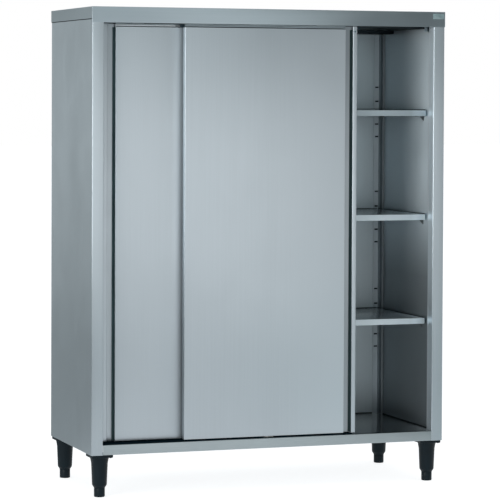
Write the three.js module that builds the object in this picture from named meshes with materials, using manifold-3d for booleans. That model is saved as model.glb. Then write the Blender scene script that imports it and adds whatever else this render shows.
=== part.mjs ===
// A free-standing storage cabinet in folded stainless sheet, with three shelves and two top-hung sliding
// doors. Millimetres, +X to the right, +Y to the back, +Z up. The origin is on the floor, under the middle
// of the cap. Most insets are from the body's outer side and most depths are behind the body's front plane.

import * as THREE from "three";
import { mergeVertices } from "three/addons/utils/BufferGeometryUtils.js";
import Module from "manifold-3d";

// Overall sizes
const capWidth = 1400;
const capDepth = 580;
const overallHeight = 1800;
const legHeight = 158;

// Sheet, clearances and cutting
const sheet = 1.2;
const bendRadius = 1.2;
const trackSheet = 2;
const clipSheet = 2;
const seat = 0.3;
const runningGap = 0.06;
const stemGap = 0.1;
const cutOverrun = 5;

// Top cap
const capOverhang = 2;
const fasciaHeight = 58;
const skirtHeight = 43.5;
const fasciaReturn = 10;

// Carcass
const stileWidth = 44;
const stileDepth = 48;
const closingFlange = 30;
const rearFlange = 25;
const liningInset = 26;
const railHeight = 37.5;
const bottomLip = 45;
const ceilingDrop = 62.5;
const ceilingClearance = 4;
const channelDrop = 12.5;
const channelDepth = 133;
const ceilingRearFlange = 35;

// Rear corner posts and their slots
const postInset = 35;
const postDepth = 41;
const postFlange = 22;
const slotWidth = 15;
const slotHeight = 6.5;
const slotOffset = 1;
const slotShares = [
  0.8615, 0.8245, 0.7645, 0.7317, 0.5868, 0.5482, 0.4867, 0.4536, 0.3297, 0.2908, 0.2098, 0.1771,
];

// Shelves and the clips under them
const shelfRise = 426.5;
const shelfPitch = 401;
const shelfFrontDepth = 90;
const shelfSideInset = 36.5;
const shelfLip = 22.4;
const shelfReturn = 15;
const clipReach = 16;
const clipLength = 34;
const clipDrop = 18;
const clipToe = 6;
const clipEdge = 5;
const frontClipDepth = 131;

// Doors
const doorWidth = 684;
const doorThickness = 24;
const doorFloorGap = 5;
const doorTopDrop = 71.7;
const frontDoorDepth = 20;
const doorPitch = 42;
const frontDoorPlainEdge = 361;
const doorReturn = 22;
const panReturn = 12;

// Recessed handle profile along each door's closing edge
const lipWidth = 17;
const grooveWidth = 30;
const grooveDepth = 18.8;
const lipHem = 4;
const handleLap = 12;
const handleRise = 11.7;

// Hanger rail, brackets, wheels and axles
const railFootWidth = 12;
const railHeadWidth = 20;
const railFootHeight = 5.9;
const railHeadHeight = 4.5;
const railSetback = 2;
const bracketInset = 90;
const bracketWidth = 44;
const bracketSheet = 2;
const bracketFoot = 8;
const bracketSetback = 10;
const bracketShoulder = 11;
const boreGap = 0.3;
const wheelRadius = 16;
const wheelWidth = 9;
const grooveRadius = 13.7;
const grooveHalfWidth = 1.4;
const grooveMouth = 2.6;
const wheelChamfer = 1;
const wheelSetback = 19;
const axleRadius = 4;
const axleHeadRadius = 6.5;
const axleHeadLength = 4;
const axleCapRadius = 5.5;
const axleCapLength = 1.6;

// Rubber bumpers on the ends of the hanger rails
const bumperLength = 14.7;
const bumperWidth = 16;
const bumperHeight = 10;
const bumperChamfer = 2.5;

// Tracks
const lipAboveRail = 12;
const webAboveRail = 4;
const trackWidth = 12;
const trackFlange = 20;
const stopDrop = 17;
const stopSetback = 2;

// Centre guide under the doors
const guideHalfLength = 16;
const guidePlate = 2;
const guideHeight = 20;
const guideFinOffset = 7;
const guideFinWidth = 6;
const guideFinGap = 1.8;
const guideBlockWidth = 7;
const guideBlockGap = 1;

// Legs and adjustable feet
const legSideInset = 44;
const legFrontInset = 46;
const legFlangeWidth = 84;
const legFlangeRadius = 8;
const legFlangeHeight = 10;
const flareRadius = 36;
const flareHeight = 22.5;
const columnTopRadius = 31;
const columnBottomRadius = 27.5;
const collarHeight = 11.5;
const collarRadius = 21;
const footRadius = 20.2;
const footHeight = 33;
const footChamfer = 2.5;
const stemRadius = 8;
const stemLength = 60;
const stemRoom = 8;

// Facets and rounding
const roundSegments = 32;
const bendSegments = 4;
const cornerGrid = 1 / 1024;

// Derived planes
const bodyHalf = capWidth / 2 - capOverhang;
const bodyFront = capOverhang - capDepth / 2;
const bodyBack = -bodyFront;
const capUnderside = overallHeight - sheet;
const carcassTop = capUnderside - seat;
const fasciaBottom = overallHeight - fasciaHeight;
const floorTop = legHeight + railHeight;
const stileFace = bodyHalf - stileWidth;
const stileBack = bodyFront + stileDepth;
const liningFace = bodyHalf - liningInset;
const liningHalf = liningFace - seat;
const backPanelBack = bodyBack - sheet - seat;
const backPanelFront = backPanelBack - sheet;
const liningBack = backPanelFront - seat;
const ceilingUnderside = overallHeight - ceilingDrop;
const channelUnderside = ceilingUnderside - channelDrop;
const postTop = channelUnderside - seat;
const postFace = bodyHalf - postInset;
const doorBottom = floorTop + doorFloorGap;
const doorTop = overallHeight - doorTopDrop;
const railBottom = doorTop + seat;
const railTop = railBottom + railFootHeight + railHeadHeight;
const trackWebUnderside = railTop + webAboveRail;
const trackLipTop = railTop + lipAboveRail;
const axleHeight = trackLipTop + seat + grooveRadius;
const trackFlangeUnderside = carcassTop - trackSheet;
const handleTop = doorTop + handleRise;
const handleStart = doorWidth - lipWidth - grooveWidth;
const rearDoorDepth = frontDoorDepth + doorPitch;
const trackLipSetback = wheelSetback - trackSheet / 2;
const ceilingFront = bodyFront + rearDoorDepth + trackLipSetback + trackWidth + ceilingClearance;

// The two doors. A door's own widths run from its plain edge towards its handle, along towardHandle.
const doors = [
  {
    name: "front_door",
    face: bodyFront + frontDoorDepth,
    plainEdge: frontDoorPlainEdge - bodyHalf,
    towardHandle: 1,
  },
  {
    name: "rear_door",
    face: bodyFront + rearDoorDepth,
    plainEdge: stileWidth + bumperLength + seat + doorWidth - bodyHalf,
    towardHandle: -1,
  },
];

const wasm = await Module();
wasm.setup();

// Materials
const steel = new THREE.MeshStandardMaterial({ color: 0x9ba7ad, roughness: 0.38, metalness: 0.9 });
const innerSteel = new THREE.MeshStandardMaterial({ color: 0x8d989d, roughness: 0.42, metalness: 0.9 });
const zinc = new THREE.MeshStandardMaterial({ color: 0x8a9094, roughness: 0.5, metalness: 0.8 });
const blackPlastic = new THREE.MeshStandardMaterial({ color: 0x23292d, roughness: 0.55, metalness: 0 });
const blackRubber = new THREE.MeshStandardMaterial({ color: 0x15181a, roughness: 0.8, metalness: 0 });
const whiteNylon = new THREE.MeshStandardMaterial({ color: 0xd9dcdb, roughness: 0.45, metalness: 0 });

// Solids

// A solid from a closed geometry, with its corners on a fine grid so that flush faces share one plane.
function solid(geometry) {
  geometry.deleteAttribute("normal");
  geometry.deleteAttribute("uv");
  const corners = geometry.getAttribute("position").array;
  corners.forEach((value, i) => {
    corners[i] = Math.round(value / cornerGrid) * cornerGrid;
  });
  const merged = mergeVertices(geometry);
  const mesh = new wasm.Mesh({
    numProp: 3,
    vertProperties: merged.getAttribute("position").array,
    triVerts: new Uint32Array(merged.index.array),
  });
  return new wasm.Manifold(mesh);
}

// A block between two opposite corners.
function block([x0, y0, z0], [x1, y1, z1]) {
  const geometry = new THREE.BoxGeometry(x1 - x0, y1 - y0, z1 - z0);
  geometry.translate((x0 + x1) / 2, (y0 + y1) / 2, (z0 + z1) / 2);
  return solid(geometry);
}

function extruded(outline, length) {
  const shape = new THREE.Shape(outline.map(([a, b]) => new THREE.Vector2(a, b)));
  return new THREE.ExtrudeGeometry(shape, { depth: length, bevelEnabled: false });
}

// An outline of (x, y) points, standing from z0 to z1.
function upright(outline, z0, z1) {
  return solid(extruded(outline, z1 - z0).translate(0, 0, z0));
}

// An outline of (y, z) points, running from x0 to x1.
function lengthwise(outline, x0, x1) {
  const turn = new THREE.Matrix4().set(0, 0, 1, x0, 1, 0, 0, 0, 0, 1, 0, 0, 0, 0, 0, 1);
  return solid(extruded(outline, x1 - x0).applyMatrix4(turn));
}

// An outline of (x, z) points, running from y0 to y1.
function across(outline, y0, y1) {
  const turn = new THREE.Matrix4().set(1, 0, 0, 0, 0, 0, -1, y1, 0, 1, 0, 0, 0, 0, 0, 1);
  return solid(extruded(outline, y1 - y0).applyMatrix4(turn));
}

// A profile of (radius, height) points turned about the vertical through (x, y).
function turnedUpright(profile, x, y) {
  const points = profile.map(([radius, height]) => new THREE.Vector2(radius, height));
  return solid(new THREE.LatheGeometry(points, roundSegments).rotateX(Math.PI / 2).translate(x, y, 0));
}

// A profile of (radius, y) points turned about the line along Y through (x, z).
function turnedAcross(profile, x, z) {
  const points = profile.map(([radius, y]) => new THREE.Vector2(radius, y));
  return solid(new THREE.LatheGeometry(points, roundSegments).translate(x, 0, z));
}

// Points on a round corner of a path, from its incoming to its outgoing direction, each with its normal to
// the right. The radius is larger where the path is on the outside of the bend.
function bend([before, corner, after], thickness) {
  const heading = Math.atan2(corner[1] - before[1], corner[0] - before[0]);
  const leaving = Math.atan2(after[1] - corner[1], after[0] - corner[0]);
  const turn = Math.atan2(Math.sin(leaving - heading), Math.cos(leaving - heading));
  const radius = bendRadius + (turn < 0 ? thickness : 0);
  const setback = radius * Math.tan(Math.abs(turn) / 2);
  const toCentre = heading + (Math.sign(turn) * Math.PI) / 2;
  const start = [corner[0] - setback * Math.cos(heading), corner[1] - setback * Math.sin(heading)];
  const centre = [start[0] + radius * Math.cos(toCentre), start[1] + radius * Math.sin(toCentre)];
  return Array.from({ length: bendSegments + 1 }, (_, step) => {
    const angle = heading + (turn * step) / bendSegments;
    const normal = [Math.sin(angle), -Math.cos(angle)];
    const side = Math.sign(turn) * radius;
    return { point: [centre[0] + normal[0] * side, centre[1] + normal[1] * side], normal };
  });
}

// The outline of a sheet folded along a path of points, with its thickness on the path's right-hand side.
function folded(path, thickness = sheet) {
  const end = (from, to, at) => {
    const angle = Math.atan2(to[1] - from[1], to[0] - from[0]);
    return { point: at, normal: [Math.sin(angle), -Math.cos(angle)] };
  };
  const last = path.length - 1;
  const stops = [end(path[0], path[1], path[0])];
  for (let i = 1; i < last; i += 1) {
    stops.push(...bend(path.slice(i - 1, i + 2), thickness));
  }
  stops.push(end(path[last - 1], path[last], path[last]));
  const face = stops.map(({ point }) => point);
  const back = stops.map(({ point: [a, b], normal }) => {
    return [a + normal[0] * thickness, b + normal[1] * thickness];
  });
  return [...face, ...back.reverse()];
}

// A rectangle's outline with round corners, in the order lower right, upper right, upper left and lower left.
function roundedRectangle([a0, b0], [a1, b1], radii) {
  const corners = [
    [a1, b0, -1, 1],
    [a1, b1, -1, -1],
    [a0, b1, 1, -1],
    [a0, b0, 1, 1],
  ];
  return corners.flatMap(([a, b, towardA, towardB], i) => {
    const radius = radii[i];
    if (!radius) return [[a, b]];
    const start = (i * Math.PI) / 2 - Math.PI / 2;
    return Array.from({ length: bendSegments + 1 }, (_, step) => {
      const angle = start + (step * Math.PI) / 2 / bendSegments;
      return [a + radius * (towardA + Math.cos(angle)), b + radius * (towardB + Math.sin(angle))];
    });
  });
}

// A block with its upright and upper edges rounded, as the outside or the inside of a folded tray.
function roundedBlock([x0, y0, z0], [x1, y1, z1], radius) {
  const plan = upright(roundedRectangle([x0, y0], [x1, y1], [radius, radius, radius, radius]), z0, z1);
  const front = across(roundedRectangle([x0, z0], [x1, z1], [0, radius, radius, 0]), y0, y1);
  const side = lengthwise(roundedRectangle([y0, z0], [y1, z1], [0, radius, radius, 0]), x0, x1);
  return plan.intersect(front).intersect(side);
}

// A tray of sheet, open below, with walls all round.
function tray([x0, y0, z0], [x1, y1, z1]) {
  const outside = roundedBlock([x0, y0, z0], [x1, y1, z1], bendRadius + sheet);
  const low = [x0 + sheet, y0 + sheet, z0 - cutOverrun];
  const high = [x1 - sheet, y1 - sheet, z1 - sheet];
  return outside.subtract(roundedBlock(low, high, bendRadius));
}

// The outline on the left or right of the cabinet's middle.
function onSide(outline, side) {
  return outline.map(([x, y]) => [side * x, y]);
}

const cabinet = new THREE.Group();
cabinet.name = "sliding_door_cabinet";

// Adds a named mesh, with the coplanar faces that cuts and joins left split made whole again.
function add(name, manifold, material) {
  const { numProp, vertProperties, triVerts } = manifold.asOriginal().simplify(cornerGrid).getMesh();
  const positions = new Float32Array((vertProperties.length / numProp) * 3);
  for (let i = 0; i < positions.length / 3; i += 1) {
    positions.set(vertProperties.subarray(i * numProp, i * numProp + 3), i * 3);
  }
  const geometry = new THREE.BufferGeometry();
  geometry.setAttribute("position", new THREE.BufferAttribute(positions, 3));
  geometry.setIndex(new THREE.BufferAttribute(triVerts, 1));
  geometry.computeVertexNormals();
  const mesh = new THREE.Mesh(geometry, material);
  mesh.name = name;
  cabinet.add(mesh);
}

// Top cap: one sheet with a deep fascia in front and shallower skirts on the sides and back.
function topCap() {
  const half = capWidth / 2;
  const front = -capDepth / 2;
  const back = capDepth / 2;
  const skirtBottom = overallHeight - skirtHeight;
  const shell = tray([-half, front, fasciaBottom], [half, back, overallHeight]);
  const behindFascia = front + capOverhang + sheet;
  const belowSkirts = block(
    [-half - cutOverrun, behindFascia, fasciaBottom - cutOverrun],
    [half + cutOverrun, back + cutOverrun, skirtBottom],
  );
  const foldHalf = stileFace - seat;
  const foldHigh = [foldHalf, front + fasciaReturn, fasciaBottom + sheet];
  const fasciaFold = block([-foldHalf, front, fasciaBottom], foldHigh);
  return shell.subtract(belowSkirts).add(fasciaFold);
}

// Outer side with its front stile and rear flange, folded from one sheet.
function sidePanel(side) {
  const path = [
    [bodyHalf - rearFlange, bodyBack],
    [bodyHalf, bodyBack],
    [bodyHalf, bodyFront],
    [stileFace, bodyFront],
    [stileFace, stileBack],
    [stileFace + closingFlange, stileBack],
  ];
  return upright(onSide(folded(path), side), legHeight, carcassTop);
}

// Inner lining, a channel that closes the hollow side wall.
function innerLining(side) {
  const outer = bodyHalf - sheet - seat;
  const path = [
    [outer, stileBack + seat],
    [liningFace, stileBack + seat],
    [liningFace, liningBack],
    [outer, liningBack],
  ];
  return upright(onSide(folded(path), side), legHeight, carcassTop);
}

// Back sheet, inside the sides' rear flanges and clear of their bends.
function backPanel() {
  const half = bodyHalf - sheet - bendRadius - seat;
  return block([-half, backPanelFront, legHeight], [half, backPanelBack, carcassTop]);
}

// Floor and bottom rail in one sheet, with lower lips that the legs bolt to.
function bottomPanel() {
  const section = folded([
    [bodyFront + bottomLip, legHeight],
    [bodyFront, legHeight],
    [bodyFront, floorTop],
    [liningBack, floorTop],
    [liningBack, legHeight],
    [liningBack - bottomLip, legHeight],
  ]);
  let panel = lengthwise(section, -liningHalf, liningHalf);
  for (const side of [-1, 1]) {
    const edges = [side * (stileFace - seat), side * bodyHalf].sort((a, b) => a - b);
    const low = [edges[0], bodyFront - cutOverrun, legHeight - cutOverrun];
    const high = [edges[1], stileBack + seat, floorTop + cutOverrun];
    panel = panel.subtract(block(low, high));
  }
  return panel;
}

// Ceiling of the storage space, stepped down into a channel at the back.
function ceilingPanel() {
  const channelFront = liningBack - channelDepth;
  const section = folded([
    [liningBack, channelUnderside + ceilingRearFlange],
    [liningBack, channelUnderside],
    [channelFront, channelUnderside],
    [channelFront, ceilingUnderside],
    [ceilingFront, ceilingUnderside],
    [ceilingFront, trackFlangeUnderside - seat],
  ]);
  return lengthwise(section, -liningHalf, liningHalf);
}

// Section of a track hung under the cap: an upturned lip for the wheels, a web, a wall and a top flange.
function trackSection(doorFace) {
  const lipFront = doorFace + trackLipSetback;
  const wallBack = lipFront + trackWidth;
  const path = [
    [wallBack + trackFlange, trackFlangeUnderside],
    [wallBack, trackFlangeUnderside],
    [wallBack, trackWebUnderside],
    [lipFront, trackWebUnderside],
    [lipFront, trackLipTop],
  ];
  return folded(path, trackSheet);
}

function frontTrack() {
  const half = stileFace - seat;
  return lengthwise(trackSection(doors[0].face), -half, half);
}

// The rear track's ends are folded down as stops for the rear door's bumpers.
function rearTrack() {
  const face = doors[1].face;
  let track = lengthwise(trackSection(face), -liningHalf, liningHalf);
  const bottom = trackWebUnderside - stopDrop;
  const back = face + trackLipSetback + trackWidth;
  for (const side of [-1, 1]) {
    const edges = [side * stileFace, side * (stileFace + trackSheet)].sort((a, b) => a - b);
    const low = [edges[0], face + stopSetback, bottom];
    const high = [edges[1], back, trackWebUnderside + trackSheet];
    track = track.add(block(low, high));
  }
  return track;
}

// Slotted angle in each rear corner.
function rearPost(side) {
  const front = liningBack - postDepth;
  const path = [
    [liningFace - seat, front],
    [postFace, front],
    [postFace, liningBack - sheet],
    [postFace - postFlange, liningBack - sheet],
  ];
  let post = upright(onSide(folded(path), side), floorTop + seat, postTop);
  const slotOuter = postFace - slotOffset;
  const edges = [side * slotOuter, side * (slotOuter - slotWidth)].sort((a, b) => a - b);
  for (const share of slotShares) {
    const middle = floorTop + share * (postTop - floorTop);
    const low = [edges[0], liningBack - sheet - cutOverrun, middle - slotHeight / 2];
    const high = [edges[1], liningBack + cutOverrun, middle + slotHeight / 2];
    post = post.subtract(block(low, high));
  }
  return post;
}

// Shelf tray with lips turned down all round and returned along the front and back.
function shelf(top) {
  const half = bodyHalf - shelfSideInset;
  const front = bodyFront + shelfFrontDepth;
  const back = liningBack - sheet - seat;
  const bottom = top - shelfLip;
  const inner = half - sheet - bendRadius;
  const frontFold = block([-inner, front + sheet / 2, bottom], [inner, front + shelfReturn, bottom + sheet]);
  const rearFold = block([-inner, back - shelfReturn, bottom], [inner, back - sheet / 2, bottom + sheet]);
  return tray([-half, front, bottom], [half, back, top]).add(frontFold).add(rearFold);
}

// Clip under a shelf end: a tongue below the shelf and a gusset against the wall, deepest at its toe.
function shelfClip(side, wall, toe, direction, shelfTop) {
  const top = shelfTop - shelfLip - seat;
  const heel = toe + direction * clipLength;
  const gusset = [
    [toe, top],
    [toe, top - clipDrop],
    [toe + direction * clipToe, top - clipDrop],
    [heel, top - clipEdge],
    [heel, top],
  ];
  const outer = wall - seat;
  const inner = outer - clipSheet;
  const tongueInner = bodyHalf - shelfSideInset - clipReach;
  const plate = [side * outer, side * inner].sort((a, b) => a - b);
  const tongue = [side * outer, side * tongueInner].sort((a, b) => a - b);
  const ends = [toe, heel].sort((a, b) => a - b);
  const tongueBlock = block([tongue[0], ends[0], top - clipSheet], [tongue[1], ends[1], top]);
  return lengthwise(gusset, plate[0], plate[1]).add(tongueBlock);
}

// Guide on the floor: a fin inside each door's open bottom edge, clear of the handle that slides over it,
// and a block between the doors.
function centreGuide() {
  const [front, rear] = doors;
  const bottom = floorTop + seat;
  const top = bottom + guideHeight;
  const finFront = sheet + guideFinGap;
  const finBack = grooveDepth - guideFinGap;
  const plateLow = [-guideHalfLength, front.face + finFront, bottom];
  const plateHigh = [guideHalfLength, rear.face + finBack, bottom + guidePlate];
  let guide = block(plateLow, plateHigh);
  for (const door of doors) {
    const middle = -door.towardHandle * guideFinOffset;
    const low = [middle - guideFinWidth / 2, door.face + finFront, bottom];
    const high = [middle + guideFinWidth / 2, door.face + finBack, top];
    guide = guide.add(block(low, high));
  }
  const low = [-guideBlockWidth / 2, front.face + doorThickness + guideBlockGap, bottom];
  const high = [guideBlockWidth / 2, rear.face - guideBlockGap, top];
  return guide.add(block(low, high));
}

// Leg: a square flange, a flared and tapered column and a collar round the foot, bored for the foot's stem.
function legHousing(x, y) {
  const top = legHeight - seat;
  const flangeBottom = top - legFlangeHeight;
  const collarBottom = footHeight + seat;
  const columnBottom = collarBottom + collarHeight;
  const column = turnedUpright([
    [0, collarBottom],
    [collarRadius, collarBottom],
    [columnBottomRadius, columnBottom],
    [columnTopRadius, flangeBottom - flareHeight],
    [flareRadius, flangeBottom],
    [flareRadius, top],
    [0, top],
  ], x, y);
  const half = legFlangeWidth / 2;
  const flangeRadii = Array(4).fill(legFlangeRadius);
  const outline = roundedRectangle([x - half, y - half], [x + half, y + half], flangeRadii);
  const boreRadius = stemRadius + stemGap;
  const bore = turnedUpright([
    [0, collarBottom - cutOverrun],
    [boreRadius, collarBottom - cutOverrun],
    [boreRadius, footHeight + stemLength + stemRoom],
    [0, footHeight + stemLength + stemRoom],
  ], x, y);
  return column.add(upright(outline, flangeBottom, top)).subtract(bore);
}

// Foot: a pad that stands on the floor, and its stem.
function adjustableFoot(x, y) {
  return turnedUpright([
    [0, 0],
    [footRadius - footChamfer, 0],
    [footRadius, footChamfer],
    [footRadius, footHeight],
    [stemRadius, footHeight],
    [stemRadius, footHeight + stemLength],
    [0, footHeight + stemLength],
  ], x, y);
}

// A point of a door: along its width from the plain edge, and behind its face.
function doorPoint(door, [along, behind]) {
  return [door.plainEdge + door.towardHandle * along, door.face + behind];
}

function doorOutline(door, points) {
  return points.map((point) => doorPoint(door, point));
}

// A block of a door, between two widths, two depths behind the face and two heights.
function doorBlock(door, along, behind, heights) {
  const ends = along.map((width) => doorPoint(door, [width, 0])[0]).sort((a, b) => a - b);
  return block([ends[0], door.face + behind[0], heights[0]], [ends[1], door.face + behind[1], heights[1]]);
}

// Face sheet, turned back at the plain edge and into the handle's groove.
function doorSkin(door) {
  const path = [
    [handleStart, grooveDepth - seat],
    [handleStart, 0],
    [0, 0],
    [0, doorReturn],
  ];
  return upright(doorOutline(door, folded(path)), doorBottom, doorTop);
}

// Back sheet, turned forward at both edges, with a flange that closes the door's top.
function innerPan(door) {
  const edge = sheet + seat;
  const path = [
    [edge, doorThickness - panReturn],
    [edge, doorThickness],
    [doorWidth, doorThickness],
    [doorWidth, grooveDepth + sheet + seat],
  ];
  const walls = upright(doorOutline(door, folded(path)), doorBottom, doorTop);
  const flangeAlong = [edge, handleStart - edge];
  const flangeBehind = [edge + bendRadius, doorThickness - bendRadius];
  return walls.add(doorBlock(door, flangeAlong, flangeBehind, [doorTop - sheet, doorTop]));
}

// Handle: a full-height groove behind a lip, rising past the door's top.
function doorHandle(door) {
  const back = grooveDepth + sheet;
  const path = [
    [handleStart - handleLap, back],
    [doorWidth, back],
    [doorWidth, 0],
    [doorWidth - lipWidth, 0],
    [doorWidth - lipWidth, lipHem],
  ];
  const profile = upright(doorOutline(door, folded(path)), doorBottom, handleTop);
  const notchAlong = [handleStart - handleLap - cutOverrun, handleStart];
  const notchBottom = doorTop - sheet - seat;
  const notch = doorBlock(door, notchAlong, [0, doorThickness], [notchBottom, handleTop + cutOverrun]);
  return profile.subtract(notch);
}

// Hanger rail on the door's top: a narrow foot under a wider head.
function hangerRail(door) {
  const middle = railSetback + railHeadWidth / 2;
  const neck = railBottom + railFootHeight;
  const outline = [
    [middle - railFootWidth / 2, railBottom],
    [middle + railFootWidth / 2, railBottom],
    [middle + railFootWidth / 2, neck],
    [middle + railHeadWidth / 2, neck],
    [middle + railHeadWidth / 2, railTop],
    [middle - railHeadWidth / 2, railTop],
    [middle - railHeadWidth / 2, neck],
    [middle - railFootWidth / 2, neck],
  ].map(([behind, z]) => [door.face + behind, z]);
  const ends = [0, handleStart - seat].map((along) => doorPoint(door, [along, 0])[0]).sort((a, b) => a - b);
  return lengthwise(outline, ends[0], ends[1]);
}

// Bracket on the rail, bored for the axle.
function hangerBracket(door, along) {
  const bottom = railTop + seat;
  const widths = [along - bracketWidth / 2, along + bracketWidth / 2];
  const plateBack = bracketSetback + bracketSheet;
  const foot = doorBlock(door, widths, [plateBack - bracketFoot, plateBack], [bottom, bottom + bracketSheet]);
  const plate = doorBlock(door, widths, [bracketSetback, plateBack], [bottom, axleHeight + bracketShoulder]);
  const [x] = doorPoint(door, [along, 0]);
  const boreRadius = axleRadius + boreGap;
  const bore = turnedAcross([
    [0, door.face + bracketSetback - cutOverrun],
    [boreRadius, door.face + bracketSetback - cutOverrun],
    [boreRadius, door.face + plateBack + cutOverrun],
    [0, door.face + plateBack + cutOverrun],
  ], x, axleHeight);
  return foot.add(plate).subtract(bore);
}

// Grooved wheel that runs on the track's lip.
function hangerWheel(door, along) {
  const [x] = doorPoint(door, [along, 0]);
  const middle = door.face + wheelSetback;
  const bore = axleRadius + runningGap;
  const half = wheelWidth / 2;
  const profile = [
    [bore, -half],
    [wheelRadius - wheelChamfer, -half],
    [wheelRadius, wheelChamfer - half],
    [wheelRadius, -grooveMouth],
    [grooveRadius, -grooveHalfWidth],
    [grooveRadius, grooveHalfWidth],
    [wheelRadius, grooveMouth],
    [wheelRadius, half - wheelChamfer],
    [wheelRadius - wheelChamfer, half],
    [bore, half],
    [bore, -half],
  ].map(([radius, y]) => [radius, middle + y]);
  return turnedAcross(profile, x, axleHeight);
}

// Axle with a head in front of the bracket and a cap behind the wheel.
function wheelAxle(door, along) {
  const [x] = doorPoint(door, [along, 0]);
  const headBack = door.face + bracketSetback - seat;
  const capFront = door.face + wheelSetback + wheelWidth / 2 + seat;
  return turnedAcross([
    [0, headBack - axleHeadLength],
    [axleHeadRadius, headBack - axleHeadLength],
    [axleHeadRadius, headBack],
    [axleRadius, headBack],
    [axleRadius, capFront],
    [axleCapRadius, capFront],
    [axleCapRadius, capFront + axleCapLength],
    [0, capFront + axleCapLength],
  ], x, axleHeight);
}

// Rubber bumper, chamfered on the end that strikes the stop.
function bumper(door, root, direction) {
  const tip = root + direction * bumperLength;
  const shoulder = tip - direction * bumperChamfer;
  const start = root + direction * seat;
  const front = railSetback + (railHeadWidth - bumperWidth) / 2;
  const back = front + bumperWidth;
  const outline = [
    [start, front],
    [shoulder, front],
    [tip, front + bumperChamfer],
    [tip, back - bumperChamfer],
    [shoulder, back],
    [start, back],
  ];
  return upright(doorOutline(door, outline), railBottom, railBottom + bumperHeight);
}

// Carcass
add("top_cap", topCap(), steel);
add("ceiling_panel", ceilingPanel(), innerSteel);
add("back_panel", backPanel(), innerSteel);
add("bottom_panel", bottomPanel(), steel);
add("front_track", frontTrack(), zinc);
add("rear_track", rearTrack(), zinc);
add("centre_guide", centreGuide(), whiteNylon);

const sides = [
  ["left", -1],
  ["right", 1],
];
for (const [sideName, side] of sides) {
  add(sideName + "_side_panel", sidePanel(side), steel);
  add(sideName + "_inner_lining", innerLining(side), innerSteel);
  add(sideName + "_rear_post", rearPost(side), innerSteel);
}

// Legs
const legRows = [
  ["front", bodyFront + legFrontInset],
  ["rear", bodyBack - legFrontInset],
];
for (const [rowName, y] of legRows) {
  for (const [sideName, side] of sides) {
    const x = side * (bodyHalf - legSideInset);
    add(rowName + "_" + sideName + "_leg_housing", legHousing(x, y), blackPlastic);
    add(rowName + "_" + sideName + "_adjustable_foot", adjustableFoot(x, y), blackPlastic);
  }
}

// Shelves with their clips
const shelfNames = ["bottom", "middle", "top"];
shelfNames.forEach((shelfName, i) => {
  const top = floorTop + shelfRise + i * shelfPitch;
  const frontToe = bodyFront + frontClipDepth;
  const rearToe = liningBack - sheet - shelfReturn;
  add(shelfName + "_shelf", shelf(top), innerSteel);
  for (const [sideName, side] of sides) {
    const frontClip = shelfClip(side, liningFace, frontToe, 1, top);
    const rearClip = shelfClip(side, postFace, rearToe, -1, top);
    add(shelfName + "_shelf_front_" + sideName + "_clip", frontClip, zinc);
    add(shelfName + "_shelf_rear_" + sideName + "_clip", rearClip, zinc);
  }
});

// Doors
for (const door of doors) {
  add(door.name + "_skin", doorSkin(door), steel);
  add(door.name + "_inner_pan", innerPan(door), innerSteel);
  add(door.name + "_handle", doorHandle(door), steel);
  add(door.name + "_hanger_rail", hangerRail(door), steel);
  const hangers = [
    ["plain_end", bracketInset],
    ["handle_end", handleStart - bracketInset],
  ];
  for (const [endName, along] of hangers) {
    add(door.name + "_" + endName + "_bracket", hangerBracket(door, along), zinc);
    add(door.name + "_" + endName + "_wheel", hangerWheel(door, along), whiteNylon);
    add(door.name + "_" + endName + "_axle", wheelAxle(door, along), zinc);
  }
  add(door.name + "_plain_end_bumper", bumper(door, 0, -1), blackRubber);
  add(door.name + "_handle_end_bumper", bumper(door, doorWidth, 1), blackRubber);
}

export default cabinet;
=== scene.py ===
"""A free-standing stainless steel storage cabinet with two sliding doors, dressed on its CAD model."""

import math

import bmesh
import bpy
from mathutils import Matrix, Vector


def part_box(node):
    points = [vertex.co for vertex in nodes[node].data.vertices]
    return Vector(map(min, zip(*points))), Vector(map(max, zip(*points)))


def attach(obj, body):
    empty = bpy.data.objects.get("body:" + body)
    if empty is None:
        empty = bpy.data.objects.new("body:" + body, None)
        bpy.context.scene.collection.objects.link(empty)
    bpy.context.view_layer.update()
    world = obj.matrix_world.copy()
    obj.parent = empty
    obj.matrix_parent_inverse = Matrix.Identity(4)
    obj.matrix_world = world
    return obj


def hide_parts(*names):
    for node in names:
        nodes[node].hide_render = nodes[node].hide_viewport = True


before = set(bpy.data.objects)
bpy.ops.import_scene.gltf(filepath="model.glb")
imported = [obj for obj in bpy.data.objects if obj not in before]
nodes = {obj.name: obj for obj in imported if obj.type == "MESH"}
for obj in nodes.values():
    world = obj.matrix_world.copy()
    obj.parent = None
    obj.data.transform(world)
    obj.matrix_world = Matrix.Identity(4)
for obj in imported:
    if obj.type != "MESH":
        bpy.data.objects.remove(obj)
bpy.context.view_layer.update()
scene = bpy.context.scene

MM = 0.001  # a millimetre in metres
SIDES = ("left", "right")
SIDE_SIGNS = (("left", -1), ("right", 1))
ROWS = ("front", "rear")
DOORS = ("front_door", "rear_door")
SHELVES = ("bottom", "middle", "top")
HANGER_ENDS = ("plain_end", "handle_end")


# Colours, as shown on a display

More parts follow.
